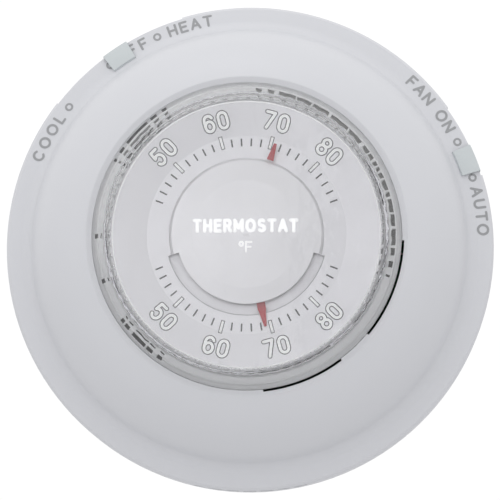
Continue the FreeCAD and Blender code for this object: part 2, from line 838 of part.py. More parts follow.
def controller_chip():
    """Surface-mounted controller with two rows of leads."""
    x, z = CHIP_PLACE
    solids = [block(7.4, 9.6, "board_front + 0.15", "board_front + 1.9", x, z)]
    for side in (-1, 1):
        for step in range(7):
            lead_z = z + (step - 3) * 1.27
            solids.append(block(1.6, 0.45, "board_front", "board_front + 0.8", x + side * 4.3, lead_z))
    return keep(joined(*solids), "controller_chip")


def chip_resistors():
    chips = [block(3.2, 1.6, "board_front", "board_front + 0.6", x, z) for x, z in RESISTOR_PLACES]
    return keep(group(*chips), "chip_resistors")


def temperature_sensor():
    """Bead thermistor on two bent leads at the bottom of the board, in the air stream."""
    solids = []
    for side in (-1, 1):
        x = side * 1.1
        solids.append(rod(0.3, "board_front", "board_front + 5", x, -46))
    bead = doc.addObject("Part::Ellipsoid", "bead")
    bind(bead, Radius1="1.3", Radius2="1.9", Radius3="1.3")
    bead.Placement = Placement(at_angle(0, 0, value("board_front + 5.6")) + Vector(0, 0, -46), Rotation())
    solids.append(bead)
    return keep(joined(*solids), "temperature_sensor")


def pot_centre():
    """Height of the potentiometer's axis above the main axis."""
    return "gear_module * (ring_teeth - pot_teeth) / 2"


def potentiometer_body():
    """Round potentiometer with a threaded nose, its bore open to the front for the shaft."""
    z = pot_centre()
    case = rod(8, "board_front", "board_front + 7", 0, z)
    nose = rod(4.2, "board_front + 7", "pot_gear_back - 0.5", 0, z)
    bore = rod("3 + running_gap", "board_front + 4", "pot_gear_back + 1", 0, z)
    return keep(minus(joined(case, nose), bore), "potentiometer_body")


def potentiometer_shaft():
    """Shaft with a flat where the gear drives it."""
    z = pot_centre()
    shank = rod(3, "board_front + 4.2", "pot_gear_front + 0.3", 0, z)
    flat = block(7, 3, "pot_gear_back", "pot_gear_front + 2", 0, z + " + 3.9")
    return keep(minus(shank, flat), "potentiometer_shaft")


def cycle_rate_trimmer():
    """Preset on the back of the board, set through the hole in the back cover."""
    case = block(9, 9, "board_back - 3.6", "board_back", 0, "trimmer_z")
    cup = rod(2.45, "board_back - 4.6", "board_back - 2.2", 0, "trimmer_z")
    return keep(minus(case, cup), "cycle_rate_trimmer")


def cycle_rate_rotor():
    """Slotted rotor of the preset."""
    rotor = rod(2.4, "board_back - 4.4", "board_back - 2.3", 0, "trimmer_z")
    slot = block(0.8, 5.5, "board_back - 6", "board_back - 3.6", 0, "trimmer_z")
    return keep(minus(rotor, slot), "cycle_rate_rotor")


# ---------------------------------------------------------------------------
# Dial frame, face, cap
# ---------------------------------------------------------------------------
UPPER_SLOTS = ((122, 124), (126.5, 129.3), (131, 142), (144, 146.5), (149.2, 150.4))
LOWER_SLOTS = (
    (179.2, 181), (196.7, 198.5), (213.8, 215.5), (216.3, 218.7), (220.7, 227.5), (228.3, 231.3),
    (233.5, 235.8),
)
RIGHT_SLOTS = (
    (-17, -16), (-13, -10.5), (-8.2, -5.3), (-4.2, 2.3), (3.2, 8), (8.6, 14), (15, 17), (17.6, 22),
    (22.6, 25), (26, 27.4), (28, 30), (31.2, 33.4), (34, 37.5), (39, 46), (46.6, 54.8), (56.2, 63),
    (63.6, 70), (70.6, 77.2), (79, 81.8), (84, 86.5),
)
NOTCH_ANGLES = (129.5, 134.4, 139.2, 144)
NOTCH_HALF_ANGLE = 1.9


def dial_frame():
    """Round frame that carries the face, the thermometer and the turning dial.

    Its rim is pierced by slots; a small lip on it lies over the dial's sleeve and holds the dial.
    """
    body = turned_body("dial_frame", [
        ("arbor_radius + running_gap", "frame_back"),
        ("frame_radius", "frame_back"),
        ("frame_radius", "lip_back"),
        ("lip_radius", "lip_back"),
        ("lip_radius", "lip_back + 0.1"),
        ("lip_radius - 0.35", "frame_top"),
        ("frame_radius - frame_wall", "frame_top"),
        ("frame_radius - frame_wall", "ledge_depth"),
        ("ledge_radius", "ledge_depth"),
        ("ledge_radius", "frame_floor"),
        ("bearing_radius", "frame_floor"),
        ("bearing_radius", "bearing_front"),
        ("arbor_radius + running_gap", "bearing_front"),
    ])
    anchor = front_sketch(body, "anchor", "frame_floor")
    disc(anchor, "anchor_radius", "anchor_x", 0)
    pad(body, anchor, "32 - frame_floor", "anchor_pad")
    vents = front_sketch(body, "vents", "frame_back")
    for number in range(8):
        middle = 22.5 + 45 * number
        arc_slot(vents, 15, 29, middle - 12, middle + 12)
    cut(body, vents, "frame_floor - frame_back", "vents_cut")
    height = "frame_top - slot_foot + 1"
    upper = front_sketch(body, "upper_slots", "slot_foot")
    for low, high in UPPER_SLOTS:
        arc_slot(upper, "upper_slot_inner", "frame_radius", low, high)
    cut(body, upper, height, "upper_slots_cut")
    grooves = front_sketch(body, "lower_grooves", "slot_foot")
    for low, high in LOWER_SLOTS:
        arc_slot(grooves, "lower_groove_inner", "lower_groove_outer", low, high)
    cut(body, grooves, height, "lower_grooves_cut")
    gaps = front_sketch(body, "lip_gaps", "slot_foot")
    for low, high in LOWER_SLOTS:
        arc_slot(gaps, "frame_radius", "lip_radius + 0.5", low, high)
    cut(body, gaps, height, "lip_gaps_cut")
    for part in range(0, len(RIGHT_SLOTS), 10):
        right = front_sketch(body, "right_slots_%d" % part, "slot_foot")
        for low, high in RIGHT_SLOTS[part:part + 10]:
            arc_slot(right, "right_slot_inner", "right_slot_outer", low, high)
        cut(body, right, height, "right_slots_cut_%d" % part)
    notches = front_sketch(body, "notches", "slot_foot")
    for middle in NOTCH_ANGLES:
        low = at_angle(value("notch_inner"), middle - NOTCH_HALF_ANGLE)
        tip = at_angle(value("notch_outer"), middle)
        high = at_angle(value("notch_inner"), middle + NOTCH_HALF_ANGLE)
        closed_lines(notches, [Vector(point.x, point.z, 0) for point in (low, tip, high)])
    cut(body, notches, height, "notches_cut")
    posts = front_sketch(body, "posts", "board_front")
    holes = front_sketch(body, "post_holes", "board_front")
    for angle in POST_ANGLES:
        x = "post_circle * cos(%d deg)" % angle
        y = "post_circle * sin(%d deg)" % angle
        disc(posts, "post_radius", x, y)
        disc(holes, "post_pilot_radius", x, y)
    pad(body, posts, "frame_floor - board_front", "post")
    cut(body, holes, "9", "post_hole_cut")
    return body


def scale_plate():
    """Face: flat inner ring, dished number ring, and the sunk well under the cap."""
    body = turned_body("scale_plate", [
        (1.8, "well_floor"),
        ("well_radius", "well_floor"),
        ("well_radius", "face_depth"),
        ("dish_radius", "face_depth"),
        ("dish_edge_radius", "dish_edge_depth"),
        ("face_radius", "dish_edge_depth - 0.5"),
        ("face_radius", "ledge_depth + 1.2"),
        ("flange_radius", "ledge_depth + 1.2"),
        ("flange_radius", "ledge_depth"),
        ("face_radius - face_thick", "ledge_depth"),
        ("face_radius - face_thick", "dish_edge_depth - 0.2 - face_thick"),
        ("dish_radius", "face_depth - face_thick"),
        ("trough_radius + face_thick", "face_depth - face_thick"),
        ("trough_radius + face_thick", "well_floor - 1"),
        (1.8, "well_floor - 1"),
    ])
    trough = front_sketch(body, "trough", "well_floor")
    arc_slot(trough, "well_radius - 1", "trough_radius", "trough_first_angle", "trough_last_angle")
    cut(body, trough, "face_depth - well_floor + 1", "trough_cut")
    return body


def center_cap():
    """Shallow domed cap over the hub; its lower edge is stepped in to show the trough."""
    body = new_body("center_cap")
    sketch = new_sketch(body, "XY_Plane", "profile")
    profile(sketch, [
        (0, "cap_front"),
        ("cap_radius * 0.35", "cap_front - 0.12"),
        ("cap_radius * 0.7", "cap_front - 0.55"),
        ("cap_radius - 0.7", "cap_edge_depth"),
        ("cap_radius", "cap_edge_depth - 0.7"),
        ("cap_radius", "well_floor"),
        ("cap_radius - face_thick", "well_floor"),
        ("cap_radius - face_thick", "cap_edge_depth - 1"),
        ("cap_radius * 0.7", "cap_front - 0.55 - face_thick"),
        (0, "cap_front - face_thick"),
    ])
    turn(body, sketch)
    step = front_sketch(body, "step", "well_floor - 1")
    arc_slot(step, "cap_low_radius", "cap_radius + 1", "trough_first_angle", "trough_last_angle")
    cut(body, step, 8, "step_cut")
    return body


# ---------------------------------------------------------------------------
# Clear dial, its pointer and its gear
# ---------------------------------------------------------------------------
def scale_angle(formula, scale):
    """Angle seen from the front of a temperature on the upper (1) or lower (-1) scale."""
    swing = "degrees_per_mark * (%s - middle_mark)" % formula
    return value("%d - (%s)" % (90, swing)) if scale > 0 else value("270 + (%s)" % swing)


def clear_dial():
    """Window and sloping grip rim in one clear shell, with a row of teeth under the rim's land."""
    body = turned_body("clear_dial", [
        (0, "window_back"),
        ("hollow_radius", "window_back"),
        ("skirt_inner", "skirt_back"),
        ("dial_radius", "skirt_back"),
        ("dial_radius", "grip_depth"),
        ("land_radius", "land_depth - 0.4"),
        ("land_radius - 0.4", "land_depth"),
        ("window_radius + 0.2", "land_depth"),
        ("window_radius", "window_front"),
        (0, "window_front"),
    ])
    teeth = front_sketch(body, "teeth", "window_back")
    count = int(value("tooth_count"))
    for number in range(count):
        half = 180.0 / count
        middle = 2 * half * number + value("tooth_phase")
        low = at_angle(value("tooth_inner"), middle - 0.8 * half)
        tip = at_angle(value("tooth_outer"), middle)
        high = at_angle(value("tooth_inner"), middle + 0.8 * half)
        closed_lines(teeth, [Vector(point.x, point.z, 0) for point in (low, tip, high)])
    cut(body, teeth, "tooth_depth", "teeth_cut")
    return body


def wedge(inner_radius, outer_radius, inner_width, outer_width, back, front):
    """Tapered pointer blade lying along +X."""
    low = value(inner_width) / 2
    high = value(outer_width) / 2
    near = value(inner_radius)
    far = value(outer_radius)
    corners = [(near, -low), (far, -high), (far, high), (near, low), (near, -low)]
    points = [Vector(x, -value(back), z) for x, z in corners]
    face = Part.Face(Part.makePolygon(points))
    return face.extrude(Vector(0, -(value(front) - value(back)), 0))


def set_pointer():
    """Red wedge fixed behind the clear window."""
    blade = wedge(21.6, 26.4, 1.9, 0.8, "window_back - 0.7", "window_back")
    angle = scale_angle("set_temperature", 1)
    return shaped("set_pointer", blade, Placement(Vector(0, 0, 0), about_front(angle)))


def gear_wire(count, root, tip, phase):
    """Outline of straight-sided teeth; in an internal gear the tip is nearer the axis."""
    module = value("gear_module")
    pitch_radius = module * count / 2.0
    share = value("tooth_share")
    slope = math.tan(math.radians(20))
    points = []
    for number in range(count):
        middle = phase + 360.0 * number / count
        half_at_pitch = share * 180.0 / count
        root_grow = math.degrees(abs(root - pitch_radius) * slope / pitch_radius)
        tip_grow = math.degrees(abs(tip - pitch_radius) * slope / pitch_radius)
        points.append(at_angle(root, middle - half_at_pitch - root_grow))
        points.append(at_angle(tip, middle - half_at_pitch + tip_grow))
        points.append(at_angle(tip, middle + half_at_pitch - tip_grow))
        points.append(at_angle(root, middle + half_at_pitch + root_grow))
    points.append(points[0])
    return Part.makePolygon(points)


def gear_radii(count, inward):
    """Root and tip radii of a gear of the common module."""
    pitch_radius = value("gear_module") * count / 2.0
    side = -1 if inward else 1
    root = pitch_radius - side * 1.15 * value("gear_module")
    tip = pitch_radius + side * 0.85 * value("gear_module")
    return root, tip


def ring_sector(inner, outer, low, high, back, front):
    """Solid sector of a ring between two radii, two angles and two depths."""
    height = front - back
    place = Vector(0, -back, 0)
    outside = Part.makeCylinder(outer, height, place, Vector(0, -1, 0))
    inside = Part.makeCylinder(inner, height, place, Vector(0, -1, 0))
    reach = 2 * outer
    corners = [Vector(0, -back, 0), at_angle(reach, low, back), at_angle(reach, high, back)]
    slice_face = Part.Face(Part.makePolygon(corners + corners[:1]))
    return outside.cut(inside).common(slice_face.extrude(Vector(0, -height, 0)))


def dial_gear():
    """White sleeve under the clear rim, slotted from the front, with the ring gear behind it."""
    count = int(value("ring_teeth"))
    root, tip = gear_radii(count, True)
    teeth = Part.Face(gear_wire(count, root, tip, 90.0))
    rim = Part.Face(Part.Wire(Part.makeCircle(value("dial_radius"), Vector(0, 0, 0), Vector(0, 1, 0))))
    ring = rim.cut(teeth)
    solid = ring.extrude(Vector(0, -value("sleeve_back - ring_gear_back"), 0))
    solid.translate(Vector(0, -value("ring_gear_back"), 0))
    seat = Vector(0, -value("sleeve_back"), 0)
    height = value("skirt_back - sleeve_back")
    sleeve = Part.makeCylinder(value("dial_radius"), height, seat, Vector(0, -1, 0))
    bore = Part.makeCylinder(value("sleeve_inner"), height, seat, Vector(0, -1, 0))
    solid = solid.fuse(sleeve.cut(bore)).removeSplitter()
    inner = value("sleeve_inner") - 0.1
    back = value("sleeve_slot_back")
    front = value("skirt_back") + 1
    slots = []
    for angles, outer in (
        (UPPER_SLOTS, "upper_sleeve_slot"),
        (LOWER_SLOTS, "lower_sleeve_slot"),
    ):
        slots += [ring_sector(inner, value(outer), low, high, back, front) for low, high in angles]
    solid = solid.cut(slots)
    return shaped("dial_gear", solid.Solids[0])


def potentiometer_gear():
    """Gear on the potentiometer's shaft, in mesh with the ring gear at the top."""
    count = int(value("pot_teeth"))
    root, tip = gear_radii(count, False)
    # a tooth of the ring gear stands at the top, so a gap of this gear does too
    phase = 90.0 + 180.0 / count
    teeth = Part.Face(gear_wire(count, root, tip, phase))
    length = value("pot_gear_front - pot_gear_back")
    solid = teeth.extrude(Vector(0, -length, 0))
    solid.translate(Vector(0, -value("pot_gear_back"), 0))
    shaft = Part.makeCylinder(3, length + 2, Vector(0, 1 - value("pot_gear_back"), 0), Vector(0, -1, 0))
    flat = Part.makeBox(7, length + 4, 3, Vector(-3.5, -value("pot_gear_front") - 2, 2.4))
    bore = shaft.cut(flat)
    solid = solid.cut(bore)
    for number in range(5):
        foot = at_angle(10.5, 72 * number + 54, value("pot_gear_back") - 1)
        solid = solid.cut(Part.makeCylinder(3.4, length + 2, foot, Vector(0, -1, 0)))
    place = Placement(Vector(0, 0, value(pot_centre())), Rotation())
    return shaped("potentiometer_gear", solid.Solids[0], place)


# ---------------------------------------------------------------------------
# Thermometer
# ---------------------------------------------------------------------------
def thermometer_arbor():
    body = turned_body("thermometer_arbor", [
        (0, "frame_back + 0.2"),
        ("arbor_radius", "frame_back + 0.2"),
        ("arbor_radius", "bearing_front + 0.4"),
        ("arbor_radius + 0.6", "bearing_front + 0.4"),
        ("arbor_radius + 0.6", "well_floor - 1.3"),
        ("arbor_radius", "well_floor - 1.3"),
        ("arbor_radius", "well_floor + 1.6"),
        (0, "well_floor + 1.6"),
    ])
    return body


def bimetal_coil():
    """Flat spiral strip: inner end at the arbor, outer end at the anchor post.

    The spiral is made of half circles whose centres lie a quarter pitch to either side of the axis.
    """
    turns = 5
    start = value("arbor_radius") + 0.75
    pitch = (value("coil_end_radius") - start) / turns
    back = value("bearing_front + 0.2")

    def side(offset):
        arcs = []
        for number in range(2 * turns):
            upper = number % 2 == 0
            centre = Vector(-pitch / 4 if upper else pitch / 4, -back, 0)
            radius = start + pitch / 4 + number * pitch / 2 + offset
            angles = (0, 90, 180) if upper else (180, 270, 360)
            arcs.append(Part.Arc(*(centre + at_angle(radius, angle) for angle in angles)).toShape())
        return arcs

    near = side(0)
    far = side(value("coil_thick"))
    ends = [
        Part.makeLine(near[0].valueAt(near[0].FirstParameter), far[0].valueAt(far[0].FirstParameter)),
        Part.makeLine(near[-1].valueAt(near[-1].LastParameter), far[-1].valueAt(far[-1].LastParameter)),
    ]
    wire = Part.Wire(Part.__sortEdges__(near + [ends[1]] + far + [ends[0]]))
    strip = Part.Face(wire).extrude(Vector(0, -value("coil_width"), 0))
    return shaped("bimetal_coil", strip)


def room_pointer():
    """Cranked hand: hub and arm under the cap, a riser in the trough, the tip over the face."""
    hub = Part.makeCylinder(3.0, 0.6, Vector(0, -value("well_floor + 0.8"), 0), Vector(0, -1, 0))
    arm = wedge(1.0, 21.4, 3.0, 2.3, "well_floor + 0.8", "well_floor + 1.3")
    riser = wedge(20.8, 21.4, 2.35, 2.3, "well_floor + 0.8", "face_depth + 1.0")
    tip = wedge(20.8, 26.2, 2.35, 0.7, "face_depth + 0.5", "face_depth + 1.0")
    hand = hub.fuse([arm, riser, tip]).removeSplitter()
    bore = Part.makeCylinder(value("arbor_radius"), 3, Vector(0, -value("well_floor"), 0), Vector(0, -1, 0))
    hand = hand.cut(bore)
    angle = scale_angle("room_temperature", -1)
    return shaped("room_pointer", hand.Solids[0], Placement(Vector(0, 0, 0), about_front(angle)))


# ---------------------------------------------------------------------------
# Switch levers and wipers
# ---------------------------------------------------------------------------
def switch_lever(label, rest_angle):
    """Lever with a finger tab wrapped over the lip, a neck through the skirt and a flat arm."""
    body = new_body(label)
    tab = new_sketch(body, "XY_Plane", "tab")
    wall_in = "rim_radius - rim_recess + lever_gap"
    lip_slope = "(crease_depth - lip_edge_depth) / (lip_edge_radius - crease_radius)"
    tab_rise = "lip_edge_depth + (lip_edge_radius - lever_tab_inner) * %s + lever_gap" % lip_slope
    edge_rise = "lip_edge_depth + lever_gap + 0.1"
    profile(tab, [
        (wall_in, "lever_back"),
        (wall_in + " + lever_skin", "lever_back"),
        (wall_in + " + lever_skin", edge_rise + " + lever_skin - 0.5"),
        (wall_in + " + lever_skin - 0.5", edge_rise + " + lever_skin"),
        ("lever_tab_inner + 0.4", tab_rise + " + lever_skin + 0.1"),
        ("lever_tab_inner", tab_rise + " + lever_skin - 0.3"),
        ("lever_tab_inner", tab_rise),
        (wall_in, edge_rise),
    ])
    turn(body, tab, "lever_tab_angle", "tab_turned")
    neck = new_sketch(body, "XY_Plane", "neck")
    profile(neck, [
        ("lever_inner", "lever_back"),
        (wall_in + " + 0.2", "lever_back"),
        (wall_in + " + 0.2", "lever_front"),
        ("lever_inner", "lever_front"),
    ])
    turn(body, neck, "lever_neck_angle", "neck_turned")
    shoe = new_sketch(body, "XY_Plane", "shoe")
    profile(shoe, [
        ("lever_inner", "lever_back"),
        ("guide_circle + 3", "lever_back"),
        ("guide_circle + 3", "lever_front"),
        ("lever_inner", "lever_front"),
    ])
    turn(body, shoe, "lever_tab_angle", "shoe_turned")
    pin = front_sketch(body, "guide_pin", "cover_back + 0.4")
    disc(pin, "guide_radius", "guide_circle", 0)
    pad(body, pin, "lever_back - cover_back - 0.4 + 0.5", "guide_pin_pad")
    body.Placement = Placement(Vector(0, 0, 0), about_front(value(rest_angle)))
    return body


def wiper(label, rest_angle):
    """Sprung bronze contact on the lever's front, its two fingers reaching for the board."""
    back = value("lever_front")
    near = value("lever_inner")
    thickness = 0.25
    rise = value("board_back - lever_front") - 0.15
    side = [(near + 0.6, 0), (near + 5.5, 0), (near + 5.5, thickness), (near + 4.2, thickness),
            (near + 2.4, rise), (near + 1.6, rise), (near + 0.9, rise - 0.8), (near + 1.2, rise - 0.9),
            (near + 1.7, rise - thickness), (near + 2.2, rise - thickness), (near + 3.7, thickness),
            (near + 0.6, thickness)]
    points = [Vector(x, -(back + d), 0) for x, d in side]
    face = Part.Face(Part.makePolygon(points + points[:1]))
    solid = face.extrude(Vector(0, 0, 3.2))
    solid.translate(Vector(0, 0, -1.6))
    gap = Part.makeBox(3.2, 4, 0.8, Vector(near + 0.4, -(back + 4 + thickness), -0.4))
    solid = solid.cut(gap)
    return shaped(label, solid.Solids[0], Placement(Vector(0, 0, 0), about_front(value(rest_angle))))


# ---------------------------------------------------------------------------
# Build everything
# ---------------------------------------------------------------------------
def check(items):
    """Stop if any object failed to compute or any sub-part is not a sound shape."""
    for item in doc.Objects:
        bad = {"Invalid", "Error"} & set(item.State)
        if bad:
            raise RuntimeError("%s (%s) is %s" % (item.Label, item.Name, bad))
    for item in items:
        shape = item.Shape
        if shape.isNull() or not shape.isValid() or not shape.Solids:
            raise RuntimeError("the shape of %s is not sound" % item.Label)


def write(items):
    os.makedirs("parts", exist_ok=True)
    for item in items:
        item.Shape.exportStep("parts/%s.step" % item.Label)
        count = len(item.Shape.Solids)
        print("%-24s %3d solid(s) %10.1f mm3" % (item.Label, count, item.Shape.Volume))


wall_plate()
for block_name, block_side in SIDES:
    terminal_block(block_name, block_side)
terminal_clips()
terminal_screws()
housing()
back_cover()
case_screws()
frame_screws()
circuit_board()
contact_pins()
relays()
capacitors()
controller_chip()
chip_resistors()
temperature_sensor()
potentiometer_body()
potentiometer_shaft()
cycle_rate_trimmer()
cycle_rate_rotor()
dial_frame()
scale_plate()
center_cap()
clear_dial()
set_pointer()
dial_gear()
potentiometer_gear()
thermometer_arbor()
bimetal_coil()
room_pointer()
switch_lever("system_lever", "system_rest_angle")
wiper("system_wiper", "system_rest_angle")
switch_lever("fan_lever", "fan_rest_angle")
wiper("fan_wiper", "fan_rest_angle")

doc.recompute()
check(PARTS)
write(PARTS)
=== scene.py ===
import json
import math

import bmesh
import bpy
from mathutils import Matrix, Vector
from mathutils.bvhtree import BVHTree


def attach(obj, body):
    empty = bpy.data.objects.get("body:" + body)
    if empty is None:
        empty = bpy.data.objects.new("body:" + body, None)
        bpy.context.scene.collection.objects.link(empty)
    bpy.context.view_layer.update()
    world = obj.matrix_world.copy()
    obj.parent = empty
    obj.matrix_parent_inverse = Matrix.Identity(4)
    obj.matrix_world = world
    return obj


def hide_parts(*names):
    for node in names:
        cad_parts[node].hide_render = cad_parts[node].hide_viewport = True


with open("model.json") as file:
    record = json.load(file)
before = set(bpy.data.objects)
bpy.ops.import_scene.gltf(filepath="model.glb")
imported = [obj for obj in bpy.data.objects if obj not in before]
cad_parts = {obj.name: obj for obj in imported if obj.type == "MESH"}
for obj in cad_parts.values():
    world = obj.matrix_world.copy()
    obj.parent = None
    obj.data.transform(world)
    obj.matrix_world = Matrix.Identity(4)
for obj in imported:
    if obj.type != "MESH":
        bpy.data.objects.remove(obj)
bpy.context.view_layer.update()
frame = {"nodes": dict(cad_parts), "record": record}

MM = 0.001
NODES = frame["nodes"]


# ---- places ------------------------------------------------------------------------------------
# Angles are in degrees, counter-clockwise from +X as seen from the front. Radii and depths (the
# distance from the wall) are in millimetres.

def spot(radius, angle, depth):
    """The point at this radius, angle and depth, in metres."""
    turn = math.radians(angle)
    return Vector((radius * math.cos(turn), -depth, radius * math.sin(turn))) * MM


def upper_angle(fahrenheit):
    """Where a temperature stands on the upper scale, which rises clockwise."""
    return 90.0 - 3.0 * (fahrenheit - 65.0)


def lower_angle(fahrenheit):
    """Where a temperature stands on the lower scale, which rises counter-clockwise."""
    return 270.0 + 3.0 * (fahrenheit - 65.0)


# ---- meshes ------------------------------------------------------------------------------------

def mesh_object(name, vertices, faces, material, body, smooth=True):
    """A mesh piece with one material, riding on its body."""
    mesh = bpy.data.meshes.new(name)
    mesh.from_pydata(vertices, [], faces)
    mesh.validate()
    mesh.polygons.foreach_set("use_smooth", [smooth] * len(mesh.polygons))
    mesh.materials.append(material)
    piece = bpy.data.objects.new(name, mesh)
    bpy.context.scene.collection.objects.link(piece)
    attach(piece, body)
    return piece


def sharpen(piece, degrees):
    """Marks the edges that turn more than this as sharp, so that smooth shading stops there."""
    bm = bmesh.new()
    bm.from_mesh(piece.data)
    bmesh.ops.recalc_face_normals(bm, faces=bm.faces)
    for edge in bm.edges:
        edge.smooth = edge.calc_face_angle(0.0) < math.radians(degrees)
    bm.to_mesh(piece.data)
    bm.free()


def lathe(profile, steps, shape=None):
    """Vertices and faces of a closed profile of (radius, depth) turned about the axis.

    Points on the axis become one vertex. shape(index, radius, depth, angle) may move a point."""
    vertices, faces, rings = [], [], []
    for index, (radius, depth) in enumerate(profile):
        first = len(vertices)
        if radius == 0.0:
            vertices.append(spot(0.0, 0.0, depth))
            rings.append([first] * steps)
            continue
        for step in range(steps):
            angle = 360.0 * step / steps
            r, d = (radius, depth) if shape is None else shape(index, radius, depth, angle)
            vertices.append(spot(r, angle, d))
        rings.append(list(range(first, first + steps)))
    for ring, following in zip(rings, rings[1:] + rings[:1]):
        for step in range(steps):
            near, far = step, (step + 1) % steps
            corners = [ring[near], ring[far], following[far], following[near]]
            unique = list(dict.fromkeys(corners))
            if len(unique) > 2:
                faces.append(unique)
    return vertices, faces


# ---- materials ---------------------------------------------------------------------------------

def surface(name, base, roughness, metallic=0.0, grain_mm=0.35, relief=0.05, tone=0.02,
            gloss_change=0.06, patch_mm=14.0):
    """A finish with a mottled tone, uneven gloss and a fine grain in relief."""
    material = bpy.data.materials.new(name)
    material.use_nodes = True
    tree = material.node_tree
    shader = tree.nodes["Principled BSDF"]
    shader.inputs["Metallic"].default_value = metallic
    where = tree.nodes.new("ShaderNodeTexCoord")

    def noise(size_mm, detail):
        texture = tree.nodes.new("ShaderNodeTexNoise")
        texture.inputs["Scale"].default_value = 1.0 / (size_mm * MM)
        texture.inputs["Detail"].default_value = detail
        tree.links.new(where.outputs["Object"], texture.inputs["Vector"])
        return texture

    patches = noise(patch_mm, 3.0)
    tint = tree.nodes.new("ShaderNodeMixRGB")
    tint.inputs["Color1"].default_value = (*(c * (1.0 - tone) for c in base), 1.0)
    tint.inputs["Color2"].default_value = (*(min(1.0, c * (1.0 + tone)) for c in base), 1.0)
    tree.links.new(patches.outputs["Fac"], tint.inputs["Fac"])
    tree.links.new(tint.outputs["Color"], shader.inputs["Base Color"])

    uneven = noise(patch_mm * 0.3, 4.0)
    gloss = tree.nodes.new("ShaderNodeMapRange")
    gloss.inputs["To Min"].default_value = max(0.0, roughness - gloss_change)
    gloss.inputs["To Max"].default_value = min(1.0, roughness + gloss_change)
    tree.links.new(uneven.outputs["Fac"], gloss.inputs["Value"])
    tree.links.new(gloss.outputs["Result"], shader.inputs["Roughness"])

    grain = noise(grain_mm, 3.0)
    bump = tree.nodes.new("ShaderNodeBump")
    bump.inputs["Strength"].default_value = relief
    bump.inputs["Distance"].default_value = grain_mm * 0.3 * MM
    tree.links.new(grain.outputs["Fac"], bump.inputs["Height"])
    tree.links.new(bump.outputs["Normal"], shader.inputs["Normal"])
    return material


def over(material, mask, colour):
    """Lays a colour over a material's base colour where the mask socket is 1."""
    tree = material.node_tree
    base = tree.nodes["Principled BSDF"].inputs["Base Color"]
    below = base.links[0].from_socket
    mix = tree.nodes.new("ShaderNodeMixRGB")
    mix.inputs["Color2"].default_value = (*colour, 1.0)
    tree.links.new(mask, mix.inputs["Fac"])
    tree.links.new(below, mix.inputs["Color1"])
    tree.links.new(mix.outputs["Color"], base)


def threshold(tree, value, edge, softness):
    """A mask that is 1 where the value is below the edge."""
    step = tree.nodes.new("ShaderNodeMapRange")
    step.inputs["From Min"].default_value = edge
    step.inputs["From Max"].default_value = edge + softness
    step.inputs["To Min"].default_value = 1.0
    step.inputs["To Max"].default_value = 0.0
    tree.links.new(value, step.inputs["Value"])
    return step.outputs["Result"]


def cells(tree, size_mm, randomness):
    """The distance to the nearest of points scattered about this far apart."""
    where = tree.nodes.new("ShaderNodeTexCoord")
    texture = tree.nodes.new("ShaderNodeTexVoronoi")
    texture.inputs["Scale"].default_value = 1.0 / (size_mm * MM)
    texture.inputs["Randomness"].default_value = randomness
    tree.links.new(where.outputs["Object"], texture.inputs["Vector"])
    return texture.outputs["Distance"]


def board_tracks(tree):
    """A mask of straight tracks in the plane of the wall."""
    where = tree.nodes.new("ShaderNodeTexCoord")
    place = tree.nodes.new("ShaderNodeMapping")
    place.inputs["Rotation"].default_value = (math.radians(90.0), 0.0, 0.0)
    tracks = tree.nodes.new("ShaderNodeTexBrick")
    tracks.offset = 0.37
    tracks.squash = 1.6
    tracks.squash_frequency = 3
    tracks.inputs["Scale"].default_value = 1.0 / (12.0 * MM)
    tracks.inputs["Mortar Size"].default_value = 0.022
    tracks.inputs["Mortar Smooth"].default_value = 0.2
    tracks.inputs["Brick Width"].default_value = 0.9
    tracks.inputs["Row Height"].default_value = 0.17
    tree.links.new(where.outputs["Object"], place.inputs["Vector"])
    tree.links.new(place.outputs["Vector"], tracks.inputs["Vector"])
    return tracks.outputs["Fac"]


def two_tone(name, front, painted_shade, depth_mm):
    """A moulding in its own light colour in front and near-black behind this depth: painted shade for the
    dark inside of the case.
    """
    material = surface(name, front, 0.40, grain_mm=0.5, relief=0.05)
    tree = material.node_tree
    where = tree.nodes.new("ShaderNodeTexCoord")
    parts = tree.nodes.new("ShaderNodeSeparateXYZ")
    depth = tree.nodes.new("ShaderNodeMath")
    depth.operation = "MULTIPLY"
    depth.inputs[1].default_value = -1.0
    tree.links.new(where.outputs["Object"], parts.inputs["Vector"])
    tree.links.new(parts.outputs["Y"], depth.inputs[0])
    # painted shade: near-black behind the depth
    over(material, threshold(tree, depth.outputs["Value"], (depth_mm - 0.1) * MM, 0.1 * MM), painted_shade)
    return material


def clear_plastic(name):
    """Clear moulded acrylic with a very slight haze and flow marks."""
    material = surface(name, (0.985, 0.99, 1.0), 0.03, grain_mm=9.0, relief=0.05, tone=0.004,
                       gloss_change=0.015, patch_mm=25.0)
    shader = material.node_tree.nodes["Principled BSDF"]
    shader.inputs["Transmission Weight"].default_value = 1.0
    shader.inputs["IOR"].default_value = 1.49
    return material


